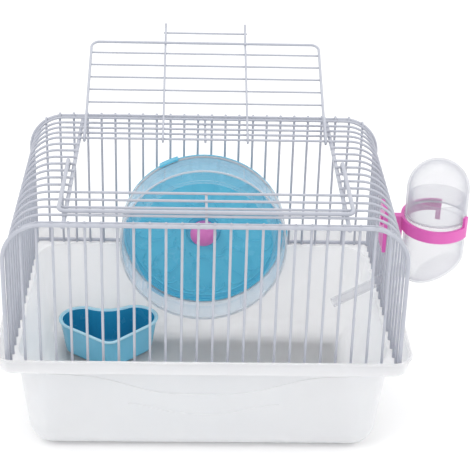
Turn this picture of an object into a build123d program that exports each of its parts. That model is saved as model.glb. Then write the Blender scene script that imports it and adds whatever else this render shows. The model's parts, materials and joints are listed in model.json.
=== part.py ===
from build123d import *
from math import asin, cos, degrees, radians, sin, sqrt, tan
import os

os.makedirs("parts", exist_ok=True)

# Hamster cage: a plastic tub, a welded wire top with a lift-up roof door and a carry handle,
# a running wheel on the rear bars, a water bottle on the right side and a loose food bowl.
# Millimetres. Origin: centre of the tub's flat underside. +X right, +Y rear, +Z up.

# ---- overall sizes ----
cage_width = 263.0            # centre to centre of the corner legs
cage_depth = 186.0            # front arch wire to rear arch wire
cage_height = 104.4           # bottom frame wire to roof wires
tub_height = 75.5             # floor level to the ledge that carries the wire top

# ---- wires ----
bar_r = 0.9                   # upright bars and roof hoops
frame_r = 1.4                 # bottom frame, arches, opening rails and handle
door_r = 1.0                  # door frame
latch_r = 0.8                 # the door's two latch wires
cross_r = 0.7                 # thin cross wires of the door
weld = 0.25                   # how far two welded wires sink into each other
pivot_gap = 0.06              # radial play of a wire eye on the hoop that it turns on
roof_bend = 24.0              # bend radius where a hoop turns down into a side bar
bar_pitch = 10.4              # spacing of the upright bars
bars_per_wall = 24
rear_pitch = 9.7              # spacing of the hoops behind the door hinge
rear_gaps = 4                 # gaps from the rear wall to the door hinge
opening_gaps = 8              # gaps that the roof opening takes
front_gaps = 4                # gaps from the opening to the front wall
opening_width = 184.0         # centre to centre of the two opening rails
stay_overhang = 1.5           # middle stays past the last hoop that they hold

# ---- door and handle ----
door_side_gap = 1.6           # free gap between the door frame and an opening rail
door_overlap = 10.7           # the closed door reaches this far past the opening
latch_reach = 20.0            # the latch wires reach this far past the door frame
latch_spread = 62.0           # distance between the two latch wires
door_cross_count = 7
door_cross_end = 10.5         # last cross wire to the door's end bar
door_tail = 22.0              # return leg of the hairpin round the hinge hoop
door_rest_gap = 0.08          # open door to the hoop it leans on
door_corner = 6.0             # bend of the door frame at its front corners
latch_tail = 5.0              # return leg of the latch wires' hairpins
latch_lift = 0.2              # closed latch wires over the roof hoops
step_flat = 3.0               # latch wire's step over the door's end bar: half of its flat top
step_reach = 8.0              # the same step: half of its foot
step_bend = 1.5
tip_reach = 5.0               # hooked tip of a latch wire: length and drop below the roof wires
tip_hook = 0.6
latch_bar_back = 7.5          # latch tips to the finger bar
bar_overhang = 0.6
eye_slack = 0.02              # an eye's bend radius is this much under its offset
handle_side_gap = 1.2
handle_front_gap = 1.8        # folded handle to the closed door's latch tips
handle_tail = 6.0
handle_corner = 5.0

# ---- tub ----
tub_wall = 1.8
tub_draft = 6.5               # degrees
tub_corner = 22.0
frame_corner = 5.0            # plan corner of the bottom frame wire
tub_edge = 18.0               # rounding of the bottom edge
ledge_width = 7.0             # tub wall to the foot of the rim lip
rim_play = 2.6                # bottom frame wire to the inside of the rim lip
rim_height = 9.0              # lip above the ledge
rim_flare = 14.0              # degrees outward
seat_gap = 0.05
swoosh_width = 1.6            # raised pattern lines on the front wall
swoosh_rise = 0.5
swoosh_band = 10.0            # depth of wall that the lines are drawn across
upper_swoosh = [(-106, 9), (-70, 12), (-43, 20.5), (0, 25.5)]
lower_swoosh = [(-52, 34), (-28, 39), (0, 43)]

# ---- wheel ----
wheel_r = 63.2
wheel_depth = 28.0
wheel_front_y = 46.0
wheel_axis_above_frame = 18.4
drum_wall = 1.6
lip_inner_r = 52.6
lip_bead = 3.0                # depth of the bead round the front opening
tread_ribs = 18
rib_height = 1.8
rib_width = 1.5
collar_depth = 2.0            # room behind the ribs for the disc's collar
collar_wall = 1.6
collar_gap = 0.05
lug_count = 3
lug_turn = 115.0              # first locking lug, degrees from +X
lug_length = 15.0
lug_rise = 1.6
lug_front = 4.0               # lug end in front of the disc's face
disc_thickness = 1.8
axle_r = 2.5
axle_play = 0.08
axle_front = 8.0              # axle end in front of the wheel's rear face
boss_front = 2.0              # wheel boss in front of that face
boss_rear = 6.0
boss_r = 8.0
cap_r = 10.0                  # hub cap
cap_side = 4.5
cap_dome = 4.2
cap_gap = 0.3                 # end play of the wheel at each side
axle_tail = 9.0               # axle past the outside of the rear bars
petal_count = 8
petal_x = 38.0                # centre of a petal from the axle
petal_r = 16.0
petal_half_w = 9.0
petal_line = 1.2
petal_rise = 0.6
bracket_width = 46.0
bracket_height = 30.0
bracket_t = 3.0
bracket_boss_r = 7.5
saddle_width = 4.5            # ribs of the bracket between the rear bars
saddle_height = 24.0
saddle_depth = 1.4
clamp_width = 40.0
clamp_height = 20.0
clamp_t = 2.4
nut_r = 5.5
nut_t = 5.0
wing_length = 8.0
wing_t = 2.4
wing_height = 5.4

# ---- water bottle ----
bottle_r = 22.0
bottle_wall = 1.4
bottle_offset = 32.5          # corner leg centre to bottle axis, sideways
bottle_joint_up = 71.0        # bottle joint above the bottom frame wire
bottle_apex_up = 113.5        # top of the dome above the bottom frame wire
bottle_floor_up = 26.0        # sloping floor below the axis, above the bottom frame wire
bottle_neck = 15.0            # height of the neck inside the upper shell
spout_slope = 30.0            # degrees below horizontal, towards the cage
tube_r = 3.5
tube_bore = 2.5
tube_inside = 34.0            # how far the tube reaches in past the side bars
ring_height = 9.0
ring_tilt = 5.0               # degrees, front arm down
ring_wall = 2.0
ring_play = 0.65
seal_t = 1.0                  # gap between the shells, filled by the seal
base_edge = 9.0               # rounding of the sloping floor's edge
neck_play = 0.08
neck_root = 4.0
spout_in = 8.0                # spout's inner end from the shell's cage side
spout_lift = 4.5
socket_length = 17.0
front_arm_end = -40.0         # ends of the open ring, degrees from +X
rear_arm_end = 75.0
tab_width = 3.6
tab_height = 16.5
web_root = 18.0               # gusset between ring and bars: height at the ring, height at the bars
web_end = 8.0
web_t = 6.0
tongue_width = 5.0
tongue_height = 6.0
tongue_past = 4.0             # tongue end past the inside of the side bars
lock_t = 2.6
lock_width = 22.0
lock_height = 32.0
lock_up = 7.0
lock_teeth = 6
tooth_width = 7.6

# ---- food bowl ----
bowl_width = 75.0
bowl_depth = 55.0
bowl_height = 27.0
bowl_wall = 2.0
bowl_x = -72.0
bowl_y = 43.0
bowl_turn = 4.0               # degrees
lobe_r = 17.0                 # the heart's two lobes
tip_r = 8.0                   # the heart's rounded point
notch_depth = 5.0
notch_r = 30.0
notch_round = 9.0
bowl_draft = 9.0              # degrees
bowl_edge = 3.0

# ---- worked out from the sizes above ----
half_w = cage_width / 2
half_d = cage_depth / 2
wire_z = tub_height + seat_gap + frame_r
roof_z = wire_z + cage_height
bar_y = half_d - (frame_r + bar_r - weld)
hoop_leg_x = half_w - (frame_r + bar_r - weld)
first_hoop_y = bar_y - (2 * bar_r - weld)
hinge_y = first_hoop_y - rear_gaps * rear_pitch
main_pitch = (hinge_y + first_hoop_y) / (opening_gaps + front_gaps)
hoop_ys = [first_hoop_y - i * rear_pitch for i in range(rear_gaps)]
hoop_ys += [hinge_y - i * main_pitch for i in range(opening_gaps + front_gaps + 1)]
opening_first = rear_gaps
opening_last = rear_gaps + opening_gaps
rail_x = opening_width / 2
rail_z = roof_z - (bar_r + frame_r - weld)
arch_bend = roof_bend + (half_w - hoop_leg_x)

door_offset = bar_r + pivot_gap + door_r
door_half_w = rail_x - frame_r - door_side_gap - door_r
door_length = opening_gaps * main_pitch + door_overlap
door_lean = degrees(asin((door_offset + door_r + bar_r + door_rest_gap) / rear_pitch))
door_swing = 180 - door_lean
latch_offset = door_offset + door_r - latch_r
cross_offset = door_offset + door_r + cross_r - weld
over_offset = door_offset + door_r + latch_r - weld
latch_low = latch_r + bar_r + latch_lift
latch_end = door_length + latch_reach

pivot_index = rear_gaps + opening_gaps // 2
pivot_y = hoop_ys[pivot_index]
handle_offset = bar_r + pivot_gap + frame_r
handle_half_w = rail_x + frame_r + handle_side_gap + frame_r
handle_length = pivot_y - (hinge_y - latch_end - handle_front_gap - frame_r)

tub_half_w = half_w + frame_r + rim_play - ledge_width
tub_half_d = half_d + frame_r + rim_play - ledge_width
rim_foot_w = half_w + frame_r + rim_play
rim_foot_d = half_d + frame_r + rim_play
rim_corner = frame_corner + frame_r + rim_play
wheel_z = wire_z + wheel_axis_above_frame
wheel_back_y = wheel_front_y + wheel_depth
bar_inner_y = bar_y - bar_r
bar_outer_y = bar_y + bar_r

bottle_x = half_w + bottle_offset
bottle_y = (hoop_ys[pivot_index] + hoop_ys[pivot_index + 1]) / 2
joint_z = wire_z + bottle_joint_up
apex_z = wire_z + bottle_apex_up
floor_z = wire_z + bottle_floor_up
ring_z = joint_z - ring_height
ring_inner_r = bottle_r + ring_play
leg_out_x = hoop_leg_x + bar_r
leg_in_x = hoop_leg_x - bar_r


def wire(points, radius, bends):
    """Round wire along straight runs joined by tangent bends (one radius, or one for each corner)."""
    path = FilletPolyline(*points, radius=bends) if len(points) > 2 else Polyline(*points)
    start = Plane(origin=path @ 0, z_dir=path % 0)
    return sweep(start * Circle(radius), path)


def rod(start, end, radius):
    """Straight round wire between two points."""
    axis = Vector(end) - Vector(start)
    return extrude(Plane(origin=start, z_dir=axis) * Circle(radius), amount=axis.length)


def rounded_block(half_x, half_y, corner, height, taper=0.0):
    """Rounded rectangle on the local floor, extruded up with a taper."""
    return extrude(RectangleRounded(2 * half_x, 2 * half_y, corner), amount=height, taper=taper)


def keep(name, shape):
    """Write one sub-part, as a compound of its own separate solids."""
    solids = shape if isinstance(shape, list) else [shape]
    pieces = [piece for solid in solids for piece in solid.solids()]
    part = Compound(children=pieces) if len(pieces) > 1 else pieces[0]
    part.label = name
    export_step(part, f"parts/{name}.step")


# ---- tub ----

def tub_block(inset, floor):
    """The tub's solid form, drawn in by inset, from its floor up to the ledge."""
    height = tub_height - floor
    top = Pos(0, 0, tub_height) * Rot(180, 0, 0)
    block = rounded_block(tub_half_w - inset, tub_half_d - inset, tub_corner - inset, height, tub_draft)
    block = top * block
    bottom = block.faces().sort_by(Axis.Z)[0]
    return fillet(bottom.edges(), tub_edge - inset)


def swoosh(drops):
    """A raised curved line across the tub's front wall, from (x, distance below the ledge) points."""
    points = [(x, tub_height - drop) for x, drop in drops]
    outline = trace(Spline(*points, tangents=[(1, -0.05), (1, 0)]), swoosh_width)
    band = Plane.XZ * (Sketch() + outline + mirror(outline, about=Plane.YZ))
    return extrude(Pos(0, swoosh_band - tub_half_d, 0) * band, amount=2 * swoosh_band, dir=(0, -1, 0))


def tray():
    """One-piece tub with a ledge for the wire top, a flared rim lip and a raised front pattern."""
    outer = tub_block(0, 0)
    lap = 0.7 * tub_wall
    ledge_low = tub_height - tub_wall
    ledge = rounded_block(rim_foot_w + lap, rim_foot_d + lap, rim_corner + lap, tub_wall)
    lip_rise = rim_height + tub_wall
    skin_w, skin_d = rim_foot_w + tub_wall, rim_foot_d + tub_wall
    lip_skin = rounded_block(skin_w, skin_d, rim_corner + tub_wall, lip_rise, -rim_flare)
    lip_cut = rounded_block(rim_foot_w, rim_foot_d, rim_corner, lip_rise, -rim_flare)
    rim = Pos(0, 0, ledge_low) * (ledge + (lip_skin - lip_cut))
    relief = tub_block(-swoosh_rise, -swoosh_rise) - outer
    ridges = swoosh(upper_swoosh) + swoosh(lower_swoosh)
    body = outer + rim + (relief & ridges)
    return body - tub_block(tub_wall, tub_wall)


# ---- wire top ----

def bottom_frame():
    """Closed rectangular wire that carries the whole wire top."""
    ring = Pos(0, 0, wire_z) * RectangleRounded(2 * half_w, 2 * half_d, frame_corner)
    path = ring.faces()[0].outer_wire()
    section = Plane(origin=path @ 0, z_dir=path % 0) * Circle(frame_r)
    return sweep(section, path)


def arch(y):
    """Thick wire that runs up one corner, across the roof edge and down the other corner."""
    foot = wire_z - frame_r + seat_gap
    points = [(-half_w, y, foot), (-half_w, y, roof_z), (half_w, y, roof_z), (half_w, y, foot)]
    return wire(points, frame_r, arch_bend)


def arch_height(x):
    """Height of the arch's centre line at x."""
    past = abs(x) - (half_w - arch_bend)
    return roof_z if past <= 0 else roof_z - arch_bend + sqrt(arch_bend ** 2 - past ** 2)


def wall_bars(side):
    """Upright bars of the front (-1) or rear (+1) wall, each hooked over the arch wire."""
    hook = frame_r + bar_r - weld
    bars = []
    for i in range(bars_per_wall):
        x = (i - (bars_per_wall - 1) / 2) * bar_pitch
        top = arch_height(x)
        points = [(x, side * bar_y, wire_z - bar_r), (x, side * bar_y, top + hook),
                  (x, side * (bar_y + hook), top + hook)]
        bars.append(wire(points, bar_r, hook - eye_slack))
    return bars


def roof_hoop(y):
    """One hoop: side bar, roof wire and side bar in one piece."""
    foot = wire_z - bar_r
    leg = hoop_leg_x
    return wire([(-leg, y, foot), (-leg, y, roof_z), (leg, y, roof_z), (leg, y, foot)], bar_r, roof_bend)


def side_bars(side):
    """Side bars beside the roof opening: up the side and in to the opening rail."""
    leg = side * hoop_leg_x
    end = side * (rail_x - frame_r + weld)
    bars = []
    for y in hoop_ys[opening_first + 1:opening_last]:
        bars.append(wire([(leg, y, wire_z - bar_r), (leg, y, roof_z), (end, y, roof_z)], bar_r, roof_bend))
    return bars


def opening_rail(side):
    """Thick wire under the hoops, along one side of the roof opening."""
    end = half_d - frame_r + weld
    return rod((side * rail_x, -end, rail_z), (side * rail_x, end, rail_z), frame_r)


def roof_stay(start_y, end_y):
    """Short wire under the hoops on the middle line."""
    z = roof_z - (2 * bar_r - weld)
    return rod((0, start_y, z), (0, end_y, z), bar_r)


# ---- door ----
# The door is drawn closed, as distances from the hinge (forward) and above it, then turned open.

def door_point(x, forward, above):
    """A point of the closed door, from its place relative to the hinge."""
    return (x, hinge_y - forward, roof_z + above)


def opened(shape):
    """Turn a closed-door shape about the hinge to where the open door leans."""
    hinge = Pos(0, hinge_y, roof_z)
    return hinge * Rot(-door_swing, 0, 0) * hinge.inverse() * shape


def hairpin(x, tail, offset, forward):
    """Points of a wire that comes back from a short tail, turns round the hinge hoop and runs forward."""
    return [door_point(x, tail, -offset), door_point(x, -offset, -offset), door_point(x, -offset, offset),
            door_point(x, forward, offset)]


def door_frame():
    """U-shaped door frame with a hairpin eye at each end."""
    left = hairpin(-door_half_w, door_tail, door_offset, door_length)
    right = hairpin(door_half_w, door_tail, door_offset, door_length)
    eye = door_offset - eye_slack
    return opened(wire(left + right[::-1], door_r, [eye, eye, door_corner, door_corner, eye, eye]))


def door_cross_wires():
    """Thin cross wires welded over the frame."""
    last = door_length - door_cross_end
    pitch = last / door_cross_count
    wires = []
    for i in range(door_cross_count):
        forward = last - i * pitch
        wires.append(opened(rod(door_point(-door_half_w, forward, cross_offset),
                                door_point(door_half_w, forward, cross_offset), cross_r)))
    return wires


def latch_wires():
    """Two springy wires from the hinge hoop, over the end bar, to hooked tips past the door."""
    wires = []
    for x in (-latch_spread / 2, latch_spread / 2):
        points = hairpin(x, latch_tail, latch_offset, door_length - step_reach)
        points += [door_point(x, door_length - step_flat, over_offset),
                   door_point(x, door_length + step_flat, over_offset),
                   door_point(x, door_length + step_reach, latch_low),
                   door_point(x, latch_end - tip_reach, latch_low),
                   door_point(x, latch_end - latch_r, -tip_hook)]
        eye = latch_offset - eye_slack
        wires.append(opened(wire(points, latch_r, [eye, eye] + [step_bend] * 5)))
    return wires


def latch_bar():
    """Finger bar welded across the latch wires near their tips."""
    above = latch_low + latch_r + cross_r - weld
    reach = latch_spread / 2 + latch_r + bar_overhang
    forward = latch_end - latch_bar_back
    return opened(rod(door_point(-reach, forward, above), door_point(reach, forward, above), cross_r))


# ---- carry handle ----

def carry_handle():
    """Folded wire bail: an eye round one hoop on each side, two arms and a cross bar."""
    def arm(x):
        return [(x, pivot_y - handle_tail, roof_z - handle_offset),
                (x, pivot_y + handle_offset, roof_z - handle_offset),
                (x, pivot_y + handle_offset, roof_z + handle_offset),
                (x, pivot_y - handle_length, roof_z + handle_offset)]
    eye = handle_offset - eye_slack
    points = arm(-handle_half_w) + arm(handle_half_w)[::-1]
    return wire(points, frame_r, [eye, eye, handle_corner, handle_corner, eye, eye])


# ---- running wheel ----

def around_wheel(shape):
    """Place a shape drawn about the local Z axis (up = rearwards) on the wheel's axis."""
    return Pos(0, 0, wheel_z) * Rot(-90, 0, 0) * shape


def tube_ring(outer, inner, low, high):
    """Flat ring or sleeve about the local Z axis."""
    return Pos(0, 0, low) * extrude(Circle(outer) - Circle(inner), amount=high - low)


def wheel_drum():
    """Clear running drum: tread wall, inward front lip with a bead, and ribs across the tread."""
    front, back = wheel_front_y, wheel_back_y
    body = tube_ring(wheel_r, wheel_r - drum_wall, front, back)
    body += tube_ring(wheel_r, lip_inner_r, front, front + drum_wall)
    body += tube_ring(lip_inner_r + drum_wall, lip_inner_r, front, front + lip_bead)
    inside = back - collar_depth - front
    rib_x = wheel_r - drum_wall - rib_height / 2 + weld
    rib = Pos(rib_x, 0, front + inside / 2) * Box(rib_height, rib_width, inside)
    for i in range(tread_ribs):
        body += Rot(0, 0, i * 360 / tread_ribs) * rib
    return around_wheel(body)


def wheel_disc():
    """Rear wall of the wheel: collar inside the drum, locking lugs, bored boss and petal pattern."""
    back = wheel_back_y
    rear = back + disc_thickness
    hole_r = axle_r + axle_play
    body = tube_ring(wheel_r, hole_r, back, rear)
    collar_r = wheel_r - drum_wall - collar_gap
    body += tube_ring(collar_r, collar_r - collar_wall, back - collar_depth + weld, back)
    body += tube_ring(boss_r, hole_r, back - boss_front, rear + boss_rear)
    sleeve = tube_ring(wheel_r + lug_rise, wheel_r + collar_gap, back - lug_front, rear)
    sleeve += tube_ring(wheel_r + lug_rise, wheel_r - drum_wall, back, rear)
    for i in range(lug_count):
        turn = Rot(0, 0, -lug_turn - i * 360 / lug_count)
        body += sleeve & turn * Pos(wheel_r, 0, back) * Box(lug_length, lug_length, lug_length)
    petal = Ellipse(petal_r, petal_half_w) - Ellipse(petal_r - petal_line, petal_half_w - petal_line)
    ridge = Pos(petal_x, 0, back - petal_rise) * extrude(petal, amount=2 * petal_rise)
    for i in range(petal_count):
        body += Rot(0, 0, i * 360 / petal_count) * ridge
    return around_wheel(body)


def wheel_axle():
    """Steel pin through the bracket, the bars, the clamp plate and the nut."""
    start = wheel_back_y - axle_front
    pin = Pos(0, 0, start) * extrude(Circle(axle_r), amount=bar_outer_y + axle_tail - start)
    return around_wheel(pin)


def wheel_hub_cap():
    """Domed cap pressed on the axle's front end; it keeps the wheel on."""
    rear = wheel_back_y - boss_front - cap_gap
    side = Polyline((0, rear - cap_side), (0, rear), (cap_r, rear), (cap_r, rear - cap_side))
    middle = Line((0, rear - cap_side - cap_dome), (0, rear - cap_side))
    crown = TangentArc((0, rear - cap_side - cap_dome), (cap_r, rear - cap_side), tangent=(1, 0))
    body = revolve(Plane.XZ * make_face(side + middle + crown), Axis.Z)
    bore = Pos(0, 0, wheel_back_y - axle_front) * extrude(Circle(axle_r), amount=axle_front)
    return around_wheel(body - bore)


def wheel_bracket():
    """Plate against the inside of the rear bars, with a boss that the wheel runs up to."""
    rear = bar_inner_y - seat_gap
    front = rear - bracket_t
    boss_low = wheel_back_y + disc_thickness + boss_rear + cap_gap
    plate = extrude(RectangleRounded(bracket_width, bracket_height, bracket_height / 5), amount=bracket_t)
    body = Pos(0, 0, front) * plate
    body += Pos(0, 0, boss_low) * extrude(Circle(bracket_boss_r), amount=front + weld - boss_low)
    for x in (-bar_pitch, 0, bar_pitch):
        body += Pos(x, 0, rear) * Box(saddle_width, saddle_height, saddle_depth)
    bore = Pos(0, 0, boss_low) * extrude(Circle(axle_r), amount=rear + saddle_depth - boss_low)
    return around_wheel(body - bore)


def wheel_clamp():
    """Plate on the outside of the rear bars that the nut pulls tight."""
    plate = RectangleRounded(clamp_width, clamp_height, clamp_height / 4) - Circle(axle_r)
    return around_wheel(Pos(0, 0, bar_outer_y + seat_gap) * extrude(plate, amount=clamp_t))


def wheel_nut():
    """Wing nut on the axle's outer end."""
    low = bar_outer_y + clamp_t + 2 * seat_gap
    body = Pos(0, 0, low) * extrude(Circle(nut_r), amount=nut_t)
    for side in (-1, 1):
        wing_x = side * (nut_r + wing_length / 4)
        body += Pos(wing_x, 0, low + wing_height / 2) * Box(wing_length, wing_t, wing_height)
    bore = Pos(0, 0, low) * extrude(Circle(axle_r), amount=nut_t + wing_height)
    return around_wheel(body - bore)


# ---- water bottle ----

def at_bottle(shape):
    """Place a shape drawn about the local Z axis on the bottle's axis."""
    return Pos(bottle_x, bottle_y, 0) * shape


def base_form(inset):
    """The lower shell's solid form: a round column cut by a floor that slopes down to the cage."""
    drop = tan(radians(spout_slope)) * 2 * bottle_r
    low = floor_z + inset / cos(radians(spout_slope))
    column = Pos(0, 0, wire_z) * extrude(Circle(bottle_r - inset), amount=joint_z - wire_z)
    below = Polyline((-2 * bottle_r, low - drop), (2 * bottle_r, low + drop), (2 * bottle_r, low - 2 * drop),
                     (-2 * bottle_r, low - 2 * drop), close=True)
    column -= extrude(Plane.XZ * make_face(below), amount=2 * bottle_r, both=True)
    slope_face = column.faces().filter_by(GeomType.PLANE).sort_by(Axis.Z)[0]
    return fillet(slope_face.edges(), base_edge - inset)


def spout_axis():
    """Start and direction of the drinking tube, from inside the lower shell."""
    slope = radians(spout_slope)
    start = Vector(bottle_x - bottle_r + spout_in, bottle_y, floor_z + spout_lift)
    return start, Vector(-cos(slope), 0, -sin(slope))


def bottle_body():
    """Clear upper shell with a domed top, open at the bottom."""
    low = joint_z + seal_t
    dome_z = apex_z - bottle_r
    inner_r = bottle_r - bottle_wall
    outside = Line((bottle_r, low), (bottle_r, dome_z)) + CenterArc((0, dome_z), bottle_r, 0, 90)
    inside = Line((inner_r, low), (inner_r, dome_z)) + CenterArc((0, dome_z), inner_r, 0, 90)
    ends = Line((inner_r, low), (bottle_r, low)) + Line((0, apex_z - bottle_wall), (0, apex_z))
    return at_bottle(revolve(Plane.XZ * make_face(outside + inside + ends), Axis.Z))


def bottle_base():
    """Clear lower shell: sloping floor, spout socket and the neck that the upper shell slides on."""
    inner_r = bottle_r - bottle_wall
    neck_r = inner_r - neck_play
    inside = base_form(bottle_wall)
    shell = base_form(0) - inside
    shell += tube_ring(neck_r, neck_r - bottle_wall, joint_z, joint_z + bottle_neck)
    shell += tube_ring(inner_r + weld, neck_r - bottle_wall, joint_z - neck_root, joint_z)
    start, run = spout_axis()
    socket = rod(start, start + run * socket_length, tube_r + bottle_wall)
    body = at_bottle(shell) + (socket - at_bottle(inside))
    return body - rod(start - run * bottle_wall, start + run * (socket_length + bottle_wall), tube_r)


def bottle_seal():
    """Soft ring between the two shells."""
    inner_r = bottle_r - bottle_wall
    return at_bottle(tube_ring(bottle_r, inner_r, joint_z + seat_gap, joint_z + seal_t - seat_gap))


def drinking_tube():
    """Clear tube from the lower shell, between two side bars, down into the cage."""
    start, run = spout_axis()
    first = start + run * tube_r
    last = first + run * ((first.X - (leg_in_x - tube_inside)) / cos(radians(spout_slope)))
    return rod(first, last, tube_r) - rod(first - run, last + run, tube_bore)


def bottle_ring():
    """Open ring that grips the bottle, with an end tab on each arm and a tongue through the bars."""
    outer_r = ring_inner_r + ring_wall
    top = ring_z + ring_height
    ring = tube_ring(outer_r, ring_inner_r, ring_z, top)
    far = 3 * outer_r
    mouth = [(far * cos(radians(end)), far * sin(radians(end))) for end in (front_arm_end, rear_arm_end)]
    gap = make_face(Polyline((0, 0), mouth[0], (far, 0), mouth[1], close=True))
    ring -= Pos(0, 0, ring_z) * extrude(gap, amount=ring_height)
    mid_r = ring_inner_r + ring_wall / 2
    front_tab = Pos(mid_r, 0, top - ring_height + tab_height / 2) * Box(ring_wall, tab_width, tab_height)
    rear_tab = Pos(mid_r, 0, top - tab_height / 2) * Box(ring_wall, tab_width, tab_height)
    ring += Rot(0, 0, front_arm_end) * front_tab + Rot(0, 0, rear_arm_end) * rear_tab
    middle = Pos(0, 0, ring_z + ring_height / 2)
    ring = middle * Rot(ring_tilt, 0, 0) * middle.inverse() * ring
    root = ring_wall / 2 - outer_r
    wall_x = leg_out_x + ring_play - bottle_x
    web = make_face(Polyline((root, top), (wall_x, top), (wall_x, top - web_end), (root, top - web_root),
                             close=True))
    ring += extrude(Plane.XZ * web, amount=web_t / 2, both=True)
    tongue_end = leg_in_x - tongue_past - bottle_x
    tongue = Box(wall_x - tongue_end + weld, tongue_width, tongue_height)
    return at_bottle(ring + Pos((tongue_end + wall_x + weld) / 2, 0, top - web_end / 2) * tongue)


def ring_lock():
    """Comb plate inside the side bars that locks the ring's tongue."""
    outer_x = leg_in_x - seat_gap - bottle_x
    top = ring_z + ring_height
    middle_z = top + lock_up - lock_height / 2
    plate = Pos(outer_x - lock_t / 2, 0, middle_z) * Box(lock_t, lock_width, lock_height)
    for i in range(lock_teeth):
        tooth_z = top + lock_up - (i + 0.5) * lock_height / lock_teeth
        plate += Pos(outer_x, 0, tooth_z) * Box(lock_t, tooth_width, lock_height / lock_teeth / 2)
    slot = Pos(outer_x, 0, top - web_end / 2) * Box(4 * lock_t, tongue_width, tongue_height)
    return at_bottle(plate - slot)


# ---- food bowl ----

def bowl_outline(inset):
    """Heart-shaped plan with two round lobes at the rear and a rounded point towards the front."""
    side = bowl_width / 2 - lobe_r
    back = bowl_depth / 2
    discs = [Pos(x, back - lobe_r) * Circle(lobe_r - inset) for x in (-side, side)]
    discs.append(Pos(0, tip_r - back) * Circle(tip_r - inset))
    heart = make_hull([edge for disc in discs for edge in disc.edges()])
    heart -= Pos(0, back - notch_depth + notch_r) * Circle(notch_r + inset)
    lobe_side = [corner for corner in heart.vertices() if abs(corner.X) < side and corner.Y > side]
    return fillet(lobe_side, notch_round)


def food_bowl():
    """Heart-shaped dish, standing loose on the tub floor."""
    low = tub_wall + seat_gap
    inside_height = bowl_height - bowl_wall
    outer = extrude(bowl_outline(0), amount=-bowl_height, taper=bowl_draft)
    inner = extrude(bowl_outline(bowl_wall), amount=-inside_height, taper=bowl_draft)
    outer = fillet(outer.faces().sort_by(Axis.Z)[0].edges(), bowl_edge)
    inner = fillet(inner.faces().sort_by(Axis.Z)[0].edges(), bowl_edge)
    return Pos(bowl_x, bowl_y, low + bowl_height) * Rot(0, 0, bowl_turn) * (outer - inner)


keep("tray", tray())
keep("bottom_frame_wire", bottom_frame())
keep("front_arch_wire", arch(-half_d))
keep("rear_arch_wire", arch(half_d))
keep("front_bars", wall_bars(-1))
keep("rear_bars", wall_bars(1))
for number, y in enumerate(hoop_ys):
    if not opening_first < number < opening_last:
        keep("door_hinge_hoop" if number == opening_first else f"roof_hoop_{number + 1:02d}", roof_hoop(y))
keep("left_side_bars", side_bars(-1))
keep("right_side_bars", side_bars(1))
keep("left_opening_rail", opening_rail(-1))
keep("right_opening_rail", opening_rail(1))
keep("front_roof_stay", roof_stay(-half_d + frame_r - weld, hoop_ys[opening_last] + stay_overhang))
keep("rear_roof_stay", roof_stay(hinge_y - stay_overhang, half_d - frame_r + weld))
keep("door_frame", door_frame())
keep("door_cross_wires", door_cross_wires())
keep("door_latch_wires", latch_wires())
keep("door_latch_bar", latch_bar())
keep("carry_handle", carry_handle())
keep("wheel_drum", wheel_drum())
keep("wheel_disc", wheel_disc())
keep("wheel_axle", wheel_axle())
keep("wheel_hub_cap", wheel_hub_cap())
keep("wheel_bracket", wheel_bracket())
keep("wheel_clamp_plate", wheel_clamp())
keep("wheel_nut", wheel_nut())
keep("bottle_body", bottle_body())
keep("bottle_base", bottle_base())
keep("bottle_seal", bottle_seal())
keep("drinking_tube", drinking_tube())
keep("bottle_ring", bottle_ring())
keep("ring_lock_plate", ring_lock())
keep("food_bowl", food_bowl())

print("door hinge", hinge_y, roof_z, "swing", door_swing)
print("handle pivot", pivot_y, "wheel axis", wheel_z, "bottle axis", bottle_x, bottle_y)
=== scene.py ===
"""Hamster cage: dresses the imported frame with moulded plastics, coated wire and fine details."""

from __future__ import annotations

import json
import logging
import math
from collections.abc import Callable, Iterable
from dataclasses import dataclass, field
from enum import Enum

import bmesh
import bpy
from mathutils import Matrix, Vector

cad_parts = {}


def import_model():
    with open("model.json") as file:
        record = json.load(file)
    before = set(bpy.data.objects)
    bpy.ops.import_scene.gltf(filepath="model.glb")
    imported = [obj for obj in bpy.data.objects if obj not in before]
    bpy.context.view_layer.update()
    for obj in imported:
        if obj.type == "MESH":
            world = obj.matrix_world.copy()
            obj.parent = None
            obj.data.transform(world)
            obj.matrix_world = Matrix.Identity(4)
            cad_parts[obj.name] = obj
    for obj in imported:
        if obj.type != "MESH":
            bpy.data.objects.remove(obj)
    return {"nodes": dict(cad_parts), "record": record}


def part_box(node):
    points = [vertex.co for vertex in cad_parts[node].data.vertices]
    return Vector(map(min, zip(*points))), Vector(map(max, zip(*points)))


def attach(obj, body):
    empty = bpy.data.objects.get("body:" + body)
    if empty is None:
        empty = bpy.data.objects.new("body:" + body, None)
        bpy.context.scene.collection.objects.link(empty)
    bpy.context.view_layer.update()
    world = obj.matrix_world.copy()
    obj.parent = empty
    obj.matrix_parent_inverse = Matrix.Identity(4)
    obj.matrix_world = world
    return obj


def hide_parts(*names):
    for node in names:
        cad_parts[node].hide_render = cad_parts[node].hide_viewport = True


LOG = logging.getLogger("hamster_cage")
MM = 0.001  # metres in a millimetre


# ---------------------------------------------------------------- node and colour helpers

def linear(code: str) -> tuple[float, float, float, float]:
    """Turn an sRGB hex colour into linear light.

    Args:
        code: six hex digits, such as "4fb0cf".

    Returns:
        The linear red, green, blue and an alpha of one.
    """
    parts = [int(code[i:i + 2], 16) / 255 for i in (0, 2, 4)]
    light = [c / 12.92 if c <= 0.04045 else ((c + 0.055) / 1.055) ** 2.4 for c in parts]
    return light[0], light[1], light[2], 1.0


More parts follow.
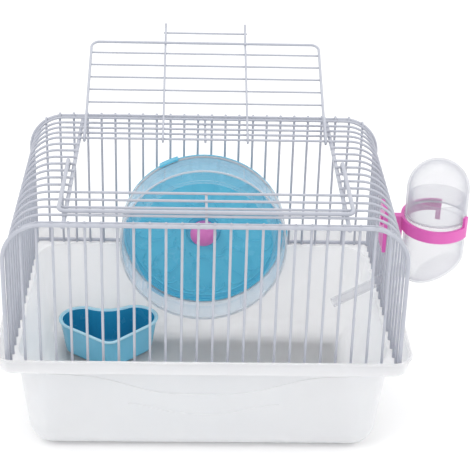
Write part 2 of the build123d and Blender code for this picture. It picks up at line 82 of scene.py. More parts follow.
def add(tree: bpy.types.NodeTree, kind: str, links: dict | None = None, values: dict | None = None,
        **settings: object) -> bpy.types.Node:
    """Add a node to a tree.

    Args:
        tree: the node tree that takes it.
        kind: the node's type name.
        links: input name or index to the socket that feeds it.
        values: input name or index to its constant.
        settings: the node's own properties.

    Returns:
        The new node.
    """
    node = tree.nodes.new(kind)
    for key, value in settings.items():
        setattr(node, key, value)
    for key, value in (values or {}).items():
        node.inputs[key].default_value = value
    for key, source in (links or {}).items():
        tree.links.new(source, node.inputs[key])
    return node


def per_mm(size_mm: float) -> float:
    """Texture scale that gives a pattern of this size, in millimetres, on coordinates in metres."""
    return 1.0 / (size_mm * MM)


# ---------------------------------------------------------------- finishes

class Clarity(Enum):
    """How much a plastic wall hides, seen square on and seen along its surface."""

    OPAQUE = (1.0, 1.0)
    DEEP = (0.93, 1.0)
    MILKY = (0.66, 0.94)
    CLEAR = (0.07, 0.72)
    GLASSY = (0.13, 0.95)


@dataclass(frozen=True)
class MouldedPlastic:
    """Injection-moulded plastic: slow flow marks in the colour, a fine mould grain and soft smudges."""

    name: str
    colour: str
    shade: str
    clarity: Clarity = Clarity.OPAQUE
    roughness: float = 0.3
    ior: float = 1.5
    flow_mm: float = 38.0
    grain_mm: float = 0.9
    grain_depth_mm: float = 0.02
    scuff: float = 0.08
    edge_power: float = 3.0
    scatter_share: float = 0.6
    scatter_mm: float = 20.0

    def build(self) -> bpy.types.Material:
        """Make the material."""
        material = bpy.data.materials.new(self.name)
        material.use_nodes = True
        tree = material.node_tree
        shader = tree.nodes["Principled BSDF"]
        shader.inputs["IOR"].default_value = self.ior
        if self.clarity is Clarity.MILKY:
            shader.inputs["Subsurface Weight"].default_value = self.scatter_share
            shader.inputs["Subsurface Radius"].default_value = (self.scatter_mm * MM,) * 3
            shader.inputs["Subsurface Scale"].default_value = 1.0
        if self.clarity is not Clarity.OPAQUE:
            self.veil(tree, shader)
        place = add(tree, "ShaderNodeTexCoord").outputs["Object"]
        flow = add(tree, "ShaderNodeTexNoise", {"Vector": place},
                   {"Scale": per_mm(self.flow_mm), "Detail": 3.0, "Distortion": 0.6})
        mixed = add(tree, "ShaderNodeMix", {"Factor": flow.outputs["Fac"]}, data_type="RGBA")
        mixed.inputs[6].default_value = linear(self.colour)
        mixed.inputs[7].default_value = linear(self.shade)
        tree.links.new(mixed.outputs[2], shader.inputs["Base Color"])
        smudge = add(tree, "ShaderNodeTexNoise", {"Vector": place},
                     {"Scale": per_mm(self.flow_mm / 4), "Detail": 5.0, "Roughness": 0.6})
        spread = add(tree, "ShaderNodeMapRange", {"Value": smudge.outputs["Fac"]},
                     {"From Min": 0.35, "From Max": 0.7, "To Min": self.roughness,
                      "To Max": self.roughness + self.scuff})
        tree.links.new(spread.outputs["Result"], shader.inputs["Roughness"])
        grain = add(tree, "ShaderNodeTexNoise", {"Vector": place},
                    {"Scale": per_mm(self.grain_mm), "Detail": 2.0})
        bump = add(tree, "ShaderNodeBump", {"Height": grain.outputs["Fac"]},
                   {"Strength": 0.35, "Distance": self.grain_depth_mm * MM})
        tree.links.new(bump.outputs["Normal"], shader.inputs["Normal"])
        return material

    def veil(self, tree: bpy.types.NodeTree, shader: bpy.types.Node) -> None:
        """Let light through the wall, less where it is seen along its surface.

        Args:
            tree: the material's node tree.
            shader: its shader.
        """
        square_on, along = self.clarity.value
        facing = add(tree, "ShaderNodeLayerWeight", values={"Blend": 0.5})
        bent = add(tree, "ShaderNodeMath", {0: facing.outputs["Facing"]}, {1: self.edge_power},
                   operation="POWER")
        hides = add(tree, "ShaderNodeMapRange", {"Value": bent.outputs[0]},
                    {"To Min": square_on, "To Max": along})
        tree.links.new(hides.outputs["Result"], shader.inputs["Alpha"])


@dataclass(frozen=True)
class DippedWire:
    """Steel wire dipped in white polyethylene: soft gloss, a skin that runs thick and thin, dull scuffs."""

    name: str = "polyethylene_dipped_wire"
    colour: str = "b9bcc6"
    shade: str = "abaeb9"
    scuffed: str = "979aa5"
    skin_mm: float = 5.0
    scuff_mm: float = 2.2

    def build(self) -> bpy.types.Material:
        """Make the material."""
        material = bpy.data.materials.new(self.name)
        material.use_nodes = True
        tree = material.node_tree
        shader = tree.nodes["Principled BSDF"]
        shader.inputs["IOR"].default_value = 1.51
        shader.inputs["Coat Weight"].default_value = 0.25
        shader.inputs["Coat Roughness"].default_value = 0.12
        place = add(tree, "ShaderNodeTexCoord").outputs["Object"]
        skin = add(tree, "ShaderNodeTexNoise", {"Vector": place},
                   {"Scale": per_mm(self.skin_mm), "Detail": 3.0})
        tone = add(tree, "ShaderNodeMix", {"Factor": skin.outputs["Fac"]}, data_type="RGBA")
        tone.inputs[6].default_value = linear(self.colour)
        tone.inputs[7].default_value = linear(self.shade)
        rub = add(tree, "ShaderNodeTexNoise", {"Vector": place},
                  {"Scale": per_mm(self.scuff_mm), "Detail": 6.0, "Roughness": 0.7})
        worn = add(tree, "ShaderNodeMapRange", {"Value": rub.outputs["Fac"]},
                   {"From Min": 0.66, "From Max": 0.74, "To Min": 0.0, "To Max": 0.55})
        dulled = add(tree, "ShaderNodeMix", {"Factor": worn.outputs["Result"], 6: tone.outputs[2]},
                     data_type="RGBA")
        dulled.inputs[7].default_value = linear(self.scuffed)
        tree.links.new(dulled.outputs[2], shader.inputs["Base Color"])
        gloss = add(tree, "ShaderNodeMapRange", {"Value": rub.outputs["Fac"]},
                    {"From Min": 0.3, "From Max": 0.75, "To Min": 0.28, "To Max": 0.45})
        tree.links.new(gloss.outputs["Result"], shader.inputs["Roughness"])
        bump = add(tree, "ShaderNodeBump", {"Height": skin.outputs["Fac"]},
                   {"Strength": 0.4, "Distance": 0.06 * MM})
        tree.links.new(bump.outputs["Normal"], shader.inputs["Normal"])
        return material


@dataclass(frozen=True)
class TurnedSteel:
    """Bright drawn steel pin: fine rings left by the tool across its length."""

    name: str = "turned_bright_steel"
    colour: str = "b9babd"
    ring_mm: float = 0.5

    def build(self) -> bpy.types.Material:
        """Make the material."""
        material = bpy.data.materials.new(self.name)
        material.use_nodes = True
        tree = material.node_tree
        shader = tree.nodes["Principled BSDF"]
        shader.inputs["Metallic"].default_value = 1.0
        place = add(tree, "ShaderNodeTexCoord").outputs["Object"]
        rings = add(tree, "ShaderNodeTexWave", {"Vector": place},
                    {"Scale": per_mm(self.ring_mm) / 20, "Distortion": 0.4}, bands_direction="Y")
        tone = add(tree, "ShaderNodeMix", {"Factor": rings.outputs["Fac"]}, data_type="RGBA")
        tone.inputs[6].default_value = linear(self.colour)
        tone.inputs[7].default_value = linear("9c9da1")
        tree.links.new(tone.outputs[2], shader.inputs["Base Color"])
        gloss = add(tree, "ShaderNodeMapRange", {"Value": rings.outputs["Fac"]},
                    {"To Min": 0.2, "To Max": 0.34})
        tree.links.new(gloss.outputs["Result"], shader.inputs["Roughness"])
        bump = add(tree, "ShaderNodeBump", {"Height": rings.outputs["Fac"]},
                   {"Strength": 0.2, "Distance": 0.02 * MM})
        tree.links.new(bump.outputs["Normal"], shader.inputs["Normal"])
        return material


class Palette:
    """Every material of the cage, made once."""

    def __init__(self) -> None:
        """Build all the finishes."""
        self.wire = DippedWire().build()
        self.steel = TurnedSteel().build()
        # Thin polypropylene passes a milky light and hides what stands behind it, except close by.
        self.tub = MouldedPlastic("milky_polypropylene_moulded", "f7f7f8", "f0f0f3", Clarity.MILKY, 0.34,
                                  grain_depth_mm=0.03).build()
        # Clear styrene shows sharp highlights and a faint cool edge.
        self.drum = MouldedPlastic("clear_polystyrene_moulded", "d6e6f2", "cbdfef", Clarity.CLEAR, 0.05,
                                   1.59, scuff=0.05, grain_depth_mm=0.01).build()
        # Tinted styrene lets some light in, so that thick places look deeper.
        self.disc = MouldedPlastic("sky_blue_polystyrene_moulded", "66c8e6", "55bbdd", Clarity.DEEP,
                                   0.22).build()
        # The bowl is one blue plastic given three tones: its own colour outside, a darker blue inside as
        # painted shade in the hollow, and a paler blue on the top edge and rolled rim as a painted
        # highlight.
        self.bowl_out = MouldedPlastic("pale_blue_polystyrene_moulded", "7cc4de", "6dbad7", Clarity.OPAQUE,
                                       0.2).build()
        self.bowl_in_painted_shade = MouldedPlastic("deep_blue_polystyrene_moulded", "2b93bd", "2387b2", Clarity.OPAQUE,
                                      0.22).build()
        self.bowl_rim_highlight = MouldedPlastic("rolled_pale_blue_edge", "b5deec", "a8d6e7", Clarity.OPAQUE, 0.2).build()
        self.pink = MouldedPlastic("pink_polypropylene_moulded", "dd66b8", "d258ab", Clarity.OPAQUE, 0.28,
                                   flow_mm=14.0).build()
        self.cap = MouldedPlastic("mauve_polypropylene_moulded", "d27bbd", "c86bb1", Clarity.OPAQUE, 0.3,
                                  flow_mm=9.0).build()
        # Blown clear plastic keeps soft ripples in its wall.
        self.bottle = MouldedPlastic("clear_blown_bottle_plastic", "c9cad3", "bfc1cb", Clarity.GLASSY, 0.05,
                                     1.57, grain_mm=9.0, grain_depth_mm=0.12, scuff=0.04).build()
        # This milky white is the bottle seal's own colour, and is also used on the beads round the drum's
        # front and rear edges, where it is a painted highlight.
        self.seal = MouldedPlastic("clear_silicone_rubber", "e4e6ec", "dadde5", Clarity.MILKY, 0.5).build()


# ---------------------------------------------------------------- mesh helpers

def finished(name: str, mesh: bpy.types.Mesh, body: str) -> bpy.types.Object:
    """Put a finished mesh in the scene and let it ride on a body.

    Args:
        name: the piece's name.
        mesh: its mesh, already in place.
        body: the body that carries it.

    Returns:
        The new object.
    """
    piece = bpy.data.objects.new(name, mesh)
    bpy.context.scene.collection.objects.link(piece)
    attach(piece, body)
    LOG.info("%s: %d faces, rides on %s", name, len(mesh.polygons), body)
    return piece


def baked(host: bpy.types.Object, name: str) -> bpy.types.Mesh:
    """Turn an object with live modifiers into a plain mesh and drop the object.

    Args:
        host: the object that carries the modifiers.
        name: the mesh's name.

    Returns:
        The evaluated mesh.
    """
    bpy.context.view_layer.update()
    graph = bpy.context.evaluated_depsgraph_get()
    mesh = bpy.data.meshes.new_from_object(host.evaluated_get(graph), depsgraph=graph)
    mesh.name = name
    bpy.data.objects.remove(host)
    return mesh


def merged_copy(node: str) -> bmesh.types.BMesh:
    """A welded copy of a frame node's mesh, with flat areas joined into single faces."""
    form = bmesh.new()
    form.from_mesh(frame["nodes"][node].data)
    bmesh.ops.remove_doubles(form, verts=form.verts, dist=0.002 * MM)
    bmesh.ops.dissolve_limit(form, angle_limit=math.radians(0.4), verts=form.verts, edges=form.edges)
    return form


def smooth_by_angle(form: bmesh.types.BMesh, limit_deg: float = 32.0) -> None:
    """Shade smooth, and keep the edges that turn by more than the limit sharp."""
    for face in form.faces:
        face.smooth = True
    for edge in form.edges:
        edge.smooth = len(edge.link_faces) == 2 and edge.calc_face_angle(0.0) < math.radians(limit_deg)


def refined(node: str, name: str, materials: list[bpy.types.Material], edge_mm: float = 0.25,
            pick: Callable[[bmesh.types.BMFace], int] | None = None) -> bpy.types.Object:
    """Replace a frame node by the same shape with eased edges and smooth curved faces.

    Args:
        node: the frame node.
        name: the new piece's name.
        materials: the piece's materials.
        edge_mm: how far the sharp edges are eased.
        pick: gives each face the number of its material.

    Returns:
        The new piece.
    """
    form = merged_copy(node)
    if pick is not None:
        for face in form.faces:
            face.material_index = pick(face)
    smooth_by_angle(form)
    mesh = bpy.data.meshes.new(name)
    form.to_mesh(mesh)
    form.free()
    for material in materials:
        mesh.materials.append(material)
    host = bpy.data.objects.new(name, mesh)
    bpy.context.scene.collection.objects.link(host)
    if edge_mm > 0:
        ease = host.modifiers.new("eased_edges", "BEVEL")
        ease.width = edge_mm * MM
        ease.segments = 2
        ease.limit_method = "ANGLE"
        ease.angle_limit = math.radians(50)
        ease.harden_normals = True
    piece = finished(name, baked(host, name + "_mesh"), frame_body(node))
    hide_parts(node)
    return piece


def frame_body(node: str) -> str:
    """The body that a frame node belongs to."""
    bodies = frame["record"]["behaviour"]["bodies"]
    return next(body for body, members in bodies.items() if node in members)


def centre(node: str) -> Vector:
    """Middle of a frame node's box."""
    low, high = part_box(node)
    return (low + high) / 2


# ---------------------------------------------------------------- geometry node trees

@dataclass
class NodeTool:
    """A Geometry Nodes tree with named number inputs, run once on a host mesh."""

    name: str
    inputs: dict[str, float | int]
    shape: Callable[[bpy.types.NodeTree, bpy.types.Node], bpy.types.NodeSocket]
    tree: bpy.types.NodeTree = field(init=False)

    def __post_init__(self) -> None:
        """Build the tree: the shape, Realize Instances, Set Material."""
        tree = bpy.data.node_groups.new(self.name, "GeometryNodeTree")
        face = tree.interface
        face.new_socket("Geometry", in_out="INPUT", socket_type="NodeSocketGeometry")
        for label, value in self.inputs.items():
            kind = "NodeSocketInt" if isinstance(value, int) else "NodeSocketFloat"
            face.new_socket(label, in_out="INPUT", socket_type=kind).default_value = value
        face.new_socket("Material", in_out="INPUT", socket_type="NodeSocketMaterial")
        face.new_socket("Geometry", in_out="OUTPUT", socket_type="NodeSocketGeometry")
        given = add(tree, "NodeGroupInput")
        made = self.shape(tree, given)
        real = add(tree, "GeometryNodeRealizeInstances", {"Geometry": made})
        soft = add(tree, "GeometryNodeSetShadeSmooth", {"Geometry": real.outputs[0]})
        painted = add(tree, "GeometryNodeSetMaterial",
                      {"Geometry": soft.outputs[0], "Material": given.outputs["Material"]})
        add(tree, "NodeGroupOutput", {"Geometry": painted.outputs[0]})
        self.tree = tree

    def run(self, name: str, points: bpy.types.Mesh, material: bpy.types.Material, body: str,
            **sizes: float | int) -> bpy.types.Object:
        """Apply the tree to a host mesh and keep the result as a plain piece.

        Args:
            name: the new piece's name.
            points: the host mesh.
            material: what the piece is made of.
            body: the body that carries it.
            sizes: values for the tree's inputs, with underscores for spaces.

        Returns:
            The new piece.
        """
        host = bpy.data.objects.new(name, points)
        bpy.context.scene.collection.objects.link(host)
        live = host.modifiers.new(self.name, "NODES")
        live.node_group = self.tree
        wanted = {label.replace("_", " "): value for label, value in sizes.items()}
        for item in self.tree.interface.items_tree:
            if item.in_out == "INPUT" and item.name in wanted:
                live[item.identifier] = wanted[item.name]
            elif item.in_out == "INPUT" and item.name == "Material":
                live[item.identifier] = material
        return finished(name, baked(host, name + "_mesh"), body)


def bead_shape(tree: bpy.types.NodeTree, given: bpy.types.Node) -> bpy.types.NodeSocket:
    """Small rounded beads on every point of the host, each a little different in size."""
    ball = add(tree, "GeometryNodeMeshIcoSphere", {"Radius": given.outputs["Bead radius"]},
               {"Subdivisions": 2})
    size = add(tree, "FunctionNodeRandomValue", {"Seed": given.outputs["Seed"]},
               {2: 0.82, 3: 1.15}, data_type="FLOAT")
    placed = add(tree, "GeometryNodeInstanceOnPoints",
                 {"Points": given.outputs["Geometry"], "Instance": ball.outputs["Mesh"],
                  "Scale": size.outputs[1]})
    return placed.outputs["Instances"]


def edge_shape(tree: bpy.types.NodeTree, given: bpy.types.Node) -> bpy.types.NodeSocket:
    """A round bead that follows the host's edges."""
    path = add(tree, "GeometryNodeMeshToCurve", {"Mesh": given.outputs["Geometry"]})
    section = add(tree, "GeometryNodeCurvePrimitiveCircle",
                  {"Radius": given.outputs["Bead radius"], "Resolution": given.outputs["Sides"]})
    swept = add(tree, "GeometryNodeCurveToMesh",
                {"Curve": path.outputs["Curve"], "Profile Curve": section.outputs["Curve"]},
                {"Fill Caps": True})
    return swept.outputs["Mesh"]


BOW_SWEEP = math.radians(156)
RING_TURN = math.radians(11.25)  # half a step of sixteen bows


def ring_shape(bow: bool) -> Callable[[bpy.types.NodeTree, bpy.types.Node], bpy.types.NodeSocket]:
    """A maker for raised lines set evenly round the wheel's axle.

    Args:
        bow: arcs that bulge outwards if true, straight radial lines if false.

    Returns:
        The function that builds the nodes.
    """

    def shape(tree: bpy.types.NodeTree, given: bpy.types.Node) -> bpy.types.NodeSocket:
        """Build one raised line and set copies of it round the axle."""
        if bow:
            line = add(tree, "GeometryNodeCurveArc", {"Radius": given.outputs["Line length"]},
                       {"Resolution": 28, "Start Angle": -BOW_SWEEP / 2, "Sweep Angle": BOW_SWEEP},
                       mode="RADIUS").outputs["Curve"]
        else:
            end = add(tree, "ShaderNodeCombineXYZ", {"X": given.outputs["Line length"]})
            line = add(tree, "GeometryNodeCurvePrimitiveLine", {"End": end.outputs[0]}).outputs["Curve"]
        section = add(tree, "GeometryNodeCurvePrimitiveCircle",
                      {"Radius": given.outputs["Line radius"]}, {"Resolution": 8})
        strip = add(tree, "GeometryNodeCurveToMesh",
                    {"Curve": line, "Profile Curve": section.outputs[0]}, {"Fill Caps": True})
        places = add(tree, "GeometryNodeMeshCircle",
                     {"Vertices": given.outputs["Count"], "Radius": given.outputs["Ring radius"]})
        number = add(tree, "GeometryNodeInputIndex")
        share = add(tree, "ShaderNodeMath", {0: number.outputs[0], 1: given.outputs["Count"]},
                    operation="DIVIDE")
        angle = add(tree, "ShaderNodeMath", {0: share.outputs[0]}, {1: math.tau}, operation="MULTIPLY")
        turned = add(tree, "ShaderNodeCombineXYZ", {"Z": angle.outputs[0]})
        ring = add(tree, "GeometryNodeInstanceOnPoints",
                   {"Points": places.outputs["Mesh"], "Instance": strip.outputs[0],
                    "Rotation": turned.outputs[0]})
        offset = add(tree, "ShaderNodeCombineXYZ",
                     {"Y": given.outputs["Along"], "Z": given.outputs["Up"]})
        upright = add(tree, "GeometryNodeTransform",
                      {"Geometry": ring.outputs[0], "Translation": offset.outputs[0]},
                      {"Rotation": (math.radians(90), RING_TURN, 0.0)})
        return upright.outputs[0]

    return shape


def point_mesh(name: str, points: Iterable[Vector], closed: bool | None = None) -> bpy.types.Mesh:
    """A host mesh of loose points, or of one line of edges.

    Args:
        name: the mesh's name.
        points: the places, in order.
        closed: None for loose points, False for an open line, True for a loop.

    Returns:
        The host mesh.
    """
    places = list(points)
    edges: list[tuple[int, int]] = []
    if closed is not None:
        edges = [(i, i + 1) for i in range(len(places) - 1)]
    if closed:
        edges.append((len(places) - 1, 0))
    mesh = bpy.data.meshes.new(name)
    mesh.from_pydata([tuple(place) for place in places], edges, [])
    return mesh


def top_outline(node: str, outermost: bool) -> list[Vector]:
    """The closed outer or inner edge of a frame node's flat top, in order.

    Args:
        node: the frame node.
        outermost: the outer edge if true, the inner edge if false.

    Returns:
        The corner points of the outline.
    """
    form = merged_copy(node)
    top = max(vert.co.z for vert in form.verts)
    bowl_rim_highlight = {vert for vert in form.verts if top - vert.co.z < 0.02 * MM}
    tops = [face for face in form.faces if all(vert in bowl_rim_highlight for vert in face.verts)]
    edges = [edge for edge in form.edges if sum(face in tops for face in edge.link_faces) == 1]
    loops: list[list[Vector]] = []
    left = set(edges)
    while left:
        edge = left.pop()
        line = [edge.verts[0], edge.verts[1]]
        while True:
            onward = next((e for e in line[-1].link_edges if e in left), None)
            if onward is None:
                break
            left.remove(onward)
            line.append(onward.other_vert(line[-1]))
        loops.append([vert.co.copy() for vert in line[:-1]])
    form.free()
    loops.sort(key=lambda line: max(point.x for point in line) - min(point.x for point in line))
    return loops[-1] if outermost else loops[0]


class Tools:
    """The shared Geometry Nodes trees."""

    def __init__(self) -> None:
        """Build the trees."""
        self.beads = NodeTool("rounded_beads", {"Bead radius": 0.9 * MM, "Seed": 4}, bead_shape)
        self.edge = NodeTool("bead_along_edge", {"Bead radius": 0.9 * MM, "Sides": 12}, edge_shape)
        sizes = {"Count": 16, "Ring radius": 40.0 * MM, "Line length": 9.0 * MM, "Line radius": 0.6 * MM,
                 "Along": 0.0, "Up": 0.0}
        self.bows = NodeTool("bows_round_axle", sizes, ring_shape(True))
        self.spokes = NodeTool("spokes_round_axle", sizes, ring_shape(False))


# ---------------------------------------------------------------- sub-assemblies

@dataclass
class Tub:
    """The one-piece tub: ledge and flared lip with a beaded edge."""

    palette: Palette
    tools: Tools
    bead_r: float = 0.95 * MM

    def build(self) -> None:
        """Make the tub's pieces."""
        refined("tray", "tub_shell", [self.palette.tub], 0.3)
        outline = top_outline("tray", True)
        self.tools.edge.run("tub_rim_bead", point_mesh("rim_line", outline, True), self.palette.tub, "tub",
                            Bead_radius=self.bead_r, Sides=12)


@dataclass
class WireTop:
    """Welded wire walls and roof, with the weld fillets where wires cross."""

    palette: Palette
    tools: Tools
    weld_r: float = 1.25 * MM
    weld_inset: float = 1.7  # times the frame wire's radius

    def build(self) -> None:
        """Dress the wires and add the welds."""
        for name in frame["record"]["behaviour"]["bodies"]["wire_top"]:
            if any(word in name for word in ("wire", "bars", "hoop", "rail", "stay")):
                dress(name, self.palette.wire)
        self.tools.beads.run("wire_welds", point_mesh("weld_points", self.crossings()), self.palette.wire,
                             "wire_top", Bead_radius=self.weld_r, Seed=11)

    def crossings(self) -> list[Vector]:
        """Places where bars and hoops meet the bottom frame wire and the opening rails."""
        ring_low, ring_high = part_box("bottom_frame_wire")
        ring_z = (ring_low.z + ring_high.z) / 2
        inset = self.weld_inset * (ring_high.z - ring_low.z) / 2
        spots: list[Vector] = []
        for node in ("front_bars", "rear_bars"):
            for x in self.bar_centres(node):
                side_y = ring_low.y + inset if node == "front_bars" else ring_high.y - inset
                spots.append(Vector((x, side_y, ring_z)))
        for y in self.hoop_rows():
            for side_x in (ring_low.x + inset, ring_high.x - inset):
                spots.append(Vector((side_x, y, ring_z)))
        rail_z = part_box("left_opening_rail")[1].z
        for y in self.hoop_rows():
            for rail in ("left_opening_rail", "right_opening_rail"):
                spots.append(Vector((centre(rail).x, y, rail_z)))
        return spots

    @staticmethod
    def bar_centres(node: str) -> list[float]:
        """Middle of each upright bar along X, from the bars' lowest points."""
        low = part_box(node)[0].z
        xs = sorted(v.co.x for v in frame["nodes"][node].data.vertices if v.co.z - low < 0.2 * MM)
        groups: list[list[float]] = [[xs[0]]]
        for x in xs[1:]:
            if x - groups[-1][-1] > 4 * MM:
                groups.append([x])
            else:
                groups[-1].append(x)
        return [(group[0] + group[-1]) / 2 for group in groups]

    @staticmethod
    def hoop_rows() -> list[float]:
        """Middle of each hoop and side bar along Y."""
        rows = [centre(name).y for name in frame["nodes"] if "hoop" in name]
        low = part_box("left_side_bars")[0].z
        ys = sorted(v.co.y for v in frame["nodes"]["left_side_bars"].data.vertices
                    if v.co.z - low < 0.2 * MM)
        start = ys[0]
        last = ys[0]
        for y in ys[1:] + [1.0]:
            if y - last > 4 * MM:
                rows.append((start + last) / 2)
                start = y
            last = y
        return rows


def dress(node: str, material: bpy.types.Material) -> None:
    """Give a frame node one material."""
    mesh = frame["nodes"][node].data
    mesh.materials.clear()
    mesh.materials.append(material)


@dataclass
class RoofDoor:
    """The roof door and the carry handle, bent wire welded at each crossing; only their wires are dressed
    here.
    """

    palette: Palette

    def build(self) -> None:
        """Dress the door's wires and the handle."""
        bodies = frame["record"]["behaviour"]["bodies"]
        for name in bodies["door"] + bodies["handle"]:
            dress(name, self.palette.wire)


@dataclass
class RunningWheel:
    """Clear drum on a blue disc, its hub cap, and the fixing on the rear bars."""

    palette: Palette
    tools: Tools
    disc_t: float = 1.8 * MM
    bow_ring: float = 46.0 * MM
    bow_r: float = 8.0 * MM
    line_r: float = 0.55 * MM
    rib_start: float = 10.0 * MM
    rib_length: float = 44.0 * MM
    step_r: float = 56.5 * MM
    hub_step_r: float = 13.5 * MM
    rim_r: float = 0.8 * MM
    round_steps: int = 96
    inner_ring_share: float = 0.42
    inner_bow_share: float = 0.8
    rib_thicker: float = 1.5
    hoop_thicker: float = 1.3

    def build(self) -> None:
        """Make the wheel's pieces."""
        refined("wheel_drum", "running_drum", [self.palette.drum], 0.2)
        refined("wheel_disc", "wheel_back_disc", [self.palette.disc], 0.15)
        refined("wheel_hub_cap", "hub_cap", [self.palette.cap], 0.5)
        refined("wheel_bracket", "bar_bracket", [self.palette.disc], 0.4)
        refined("wheel_clamp_plate", "clamp_plate", [self.palette.disc], 0.4)
        refined("wheel_nut", "wing_nut", [self.palette.cap], 0.5)
        dress("wheel_axle", self.palette.steel)
        drum_low, drum_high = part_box("wheel_drum")
        up = (drum_low.z + drum_high.z) / 2
        front, rear = drum_high.y, drum_high.y + self.disc_t
        blank = bpy.data.meshes.new("wheel_lines")
        disc = self.palette.disc
        self.tools.bows.run("disc_bows", blank, disc, "wheel", Count=16, Ring_radius=self.bow_ring,
                            Line_length=self.bow_r, Line_radius=self.line_r, Along=front, Up=up)
        self.tools.bows.run("disc_inner_bows", blank, disc, "wheel", Count=8,
                            Ring_radius=self.bow_ring * self.inner_ring_share,
                            Line_length=self.bow_r * self.inner_bow_share,
                            Line_radius=self.line_r, Along=front, Up=up)
        self.tools.spokes.run("disc_rear_ribs", blank, disc, "wheel", Count=12,
                              Ring_radius=self.rib_start, Line_length=self.rib_length,
                              Line_radius=self.line_r * self.rib_thicker, Along=rear, Up=up)
        hoop_r = self.line_r * self.hoop_thicker
        self.hoop("disc_front_step", self.step_r, front, up, disc, hoop_r, 8)
        self.hoop("disc_rear_hoop", self.step_r, rear, up, disc, hoop_r, 8)
        self.hoop("disc_hub_step", self.hub_step_r, front, up, disc, hoop_r, 8)
        # The two beads in the seal's milky white round the drum's front and rear edges are painted
        # highlights, standing in for the white highlight rings on the clear drum.
        edge = (drum_high.z - drum_low.z) / 2 - self.rim_r
        seal = self.palette.seal
        self.hoop("drum_front_rim", edge, drum_low.y + self.rim_r, up, seal, self.rim_r, 10)
        self.hoop("drum_rear_rim", edge, drum_high.y - self.rim_r, up, seal, self.rim_r, 10)

    def hoop(self, name: str, radius: float, along: float, up: float, material: bpy.types.Material,
             bead_r: float, sides: int) -> None:
        """Lay a round bead in a circle about the wheel's axle.

        Args:
            name: the piece's name.
            radius: the circle's radius.
            along: its place along Y.
            up: the axle's height.
            material: what the bead is made of.
            bead_r: the bead's own radius.
            sides: the number of flats round the bead.
        """
        turns = [math.tau * i / self.round_steps for i in range(self.round_steps)]
        line = [Vector((radius * math.cos(a), along, up + radius * math.sin(a))) for a in turns]
        self.tools.edge.run(name, point_mesh(name + "_line", line, True), material, "wheel",
                            Bead_radius=bead_r, Sides=sides)


@dataclass
class WaterBottle:
    """Two clear shells with a soft seal, a drinking tube, and the pink ring that holds them."""

    palette: Palette
    tools: Tools

    def build(self) -> None:
        """Make the bottle's pieces."""
        refined("bottle_body", "bottle_dome", [self.palette.bottle], 0.2)
        refined("bottle_base", "bottle_lower_shell", [self.palette.bottle], 0.2)
        refined("drinking_tube", "spout_tube", [self.palette.bottle], 0.2)
        refined("bottle_ring", "holder_ring", [self.palette.pink], 0.45)
        refined("ring_lock_plate", "comb_plate", [self.palette.pink], 0.4)
        dress("bottle_seal", self.palette.seal)


@dataclass
class FoodBowl:
    """Heart-shaped dish, darker inside as painted shade in the hollow, with a rolled rim painted paler as a
    highlight.
    """

    palette: Palette
    tools: Tools
    rim_r: float = 1.1 * MM

    def build(self) -> None:
        """Make the bowl's pieces."""
        middle = centre("food_bowl")
        low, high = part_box("food_bowl")

        def side_of(face: bmesh.types.BMFace) -> int:
            """Number of the colour: 0 outside, 1 inside with painted shade, 2 on the rim with a painted
            highlight.
            """
            spot = face.calc_center_median()
            outward = Vector((spot.x - middle.x, spot.y - middle.y, 0.0))
            if high.z - spot.z < 0.1 * MM:
                return 2
            if abs(face.normal.z) > 0.7:
                return 1 if spot.z - low.z > 1.0 * MM else 0
            return 1 if face.normal.dot(outward) < 0 else 0

        refined("food_bowl", "heart_bowl", [self.palette.bowl_out, self.palette.bowl_in_painted_shade, self.palette.bowl_rim_highlight],
                0.4, side_of)
        # The rolled rim takes the pale tone too: a painted highlight along the bowl's top edge.
        outline = top_outline("food_bowl", True)
        self.tools.edge.run("bowl_rim_roll", point_mesh("bowl_line", outline, True), self.palette.bowl_rim_highlight,
                            "bowl", Bead_radius=self.rim_r, Sides=12)


# ---------------------------------------------------------------- stage

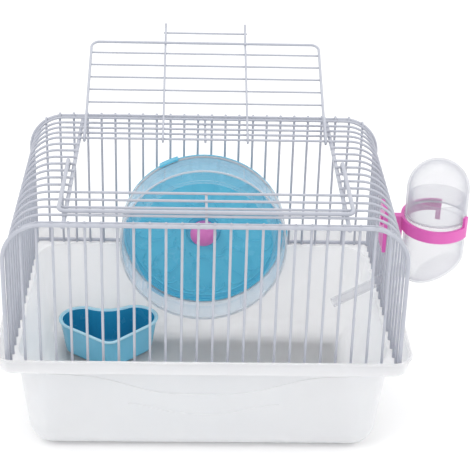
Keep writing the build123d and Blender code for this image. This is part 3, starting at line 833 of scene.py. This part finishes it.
@dataclass
class Studio:
    """White sweep, soft lights and the camera."""

    focal_mm: float = 107.97
    sensor_mm: float = 36.0
    aside: float = -0.0127
    back: float = -0.8994
    above_wire: float = 0.50505
    pitch_deg: float = 26.71
    yaw_deg: float = 2.19
    roll_deg: float = -1.67
    clear_walls: int = 24

    def build(self) -> None:
        """Make the floor, the lights and the camera."""
        self.floor()
        self.lights()
        self.camera()

    def floor(self) -> None:
        """A wide pale floor under the cage."""
        mesh = bpy.data.meshes.new("floor")
        half = 6.0
        drop = -0.0002
        mesh.from_pydata([(-half, -half, drop), (half, -half, drop), (half, half, drop),
                          (-half, half, drop)], [], [(0, 1, 2, 3)])
        material = bpy.data.materials.new("white_paper")
        material.use_nodes = True
        shader = material.node_tree.nodes["Principled BSDF"]
        shader.inputs["Base Color"].default_value = linear("fafafa")
        shader.inputs["Roughness"].default_value = 0.9
        mesh.materials.append(material)
        floor = bpy.data.objects.new("floor", mesh)
        bpy.context.scene.collection.objects.link(floor)

    def lights(self) -> None:
        """A bright sky all round, a large key light on the left and a fill on the right."""
        world = bpy.data.worlds.new("bright_studio")
        world.use_nodes = True
        sky = world.node_tree.nodes["Background"]
        sky.inputs["Color"].default_value = linear("ffffff")
        sky.inputs["Strength"].default_value = 0.99
        bpy.context.scene.world = world
        for name, spot, size, watts in (("key", (-0.9, -0.9, 1.5), 0.9, 7.0),
                                        ("fill", (1.2, -0.5, 0.9), 0.7, 3.0),
                                        ("top", (0.1, 0.5, 1.6), 0.8, 4.0)):
            lamp = bpy.data.lights.new(name, "AREA")
            lamp.size = size
            lamp.energy = watts
            light = bpy.data.objects.new(name, lamp)
            light.location = spot
            light.rotation_euler = (Vector((0, 0, 0.09)) - Vector(spot)).to_track_quat("-Z", "Y").to_euler()
            bpy.context.scene.collection.objects.link(light)

    def camera(self) -> None:
        """A long lens, looking down at the front."""
        pitch, yaw, roll = (math.radians(a) for a in (self.pitch_deg, self.yaw_deg, self.roll_deg))
        ahead = Vector((math.sin(yaw) * math.cos(pitch), math.cos(yaw) * math.cos(pitch), -math.sin(pitch)))
        right = Vector((math.cos(yaw), -math.sin(yaw), 0))
        down = ahead.cross(right)
        across = right * math.cos(roll) + down * math.sin(roll)
        below = down * math.cos(roll) - right * math.sin(roll)
        lens = bpy.data.cameras.new("camera")
        lens.lens = self.focal_mm
        lens.sensor_width = self.sensor_mm
        eye = bpy.data.objects.new("camera", lens)
        turn = Matrix((across, -below, -ahead)).transposed()
        place = Vector((self.aside, self.back, centre("bottom_frame_wire").z + self.above_wire))
        eye.matrix_world = Matrix.Translation(place) @ turn.to_4x4()
        bpy.context.scene.collection.objects.link(eye)
        bpy.context.scene.camera = eye
        bpy.context.scene.view_settings.view_transform = "Standard"
        bpy.context.scene.cycles.transparent_max_bounces = self.clear_walls


def main() -> None:
    """Build everything in order."""
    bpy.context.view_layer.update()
    palette = Palette()
    tools = Tools()
    Studio().build()
    for part in (Tub(palette, tools), WireTop(palette, tools), RoofDoor(palette),
                 RunningWheel(palette, tools), WaterBottle(palette, tools), FoodBowl(palette, tools)):
        LOG.info("building %s", type(part).__name__)
        part.build()


if __name__ == "__main__":
    logging.basicConfig(level=logging.INFO)
    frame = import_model()
    main()
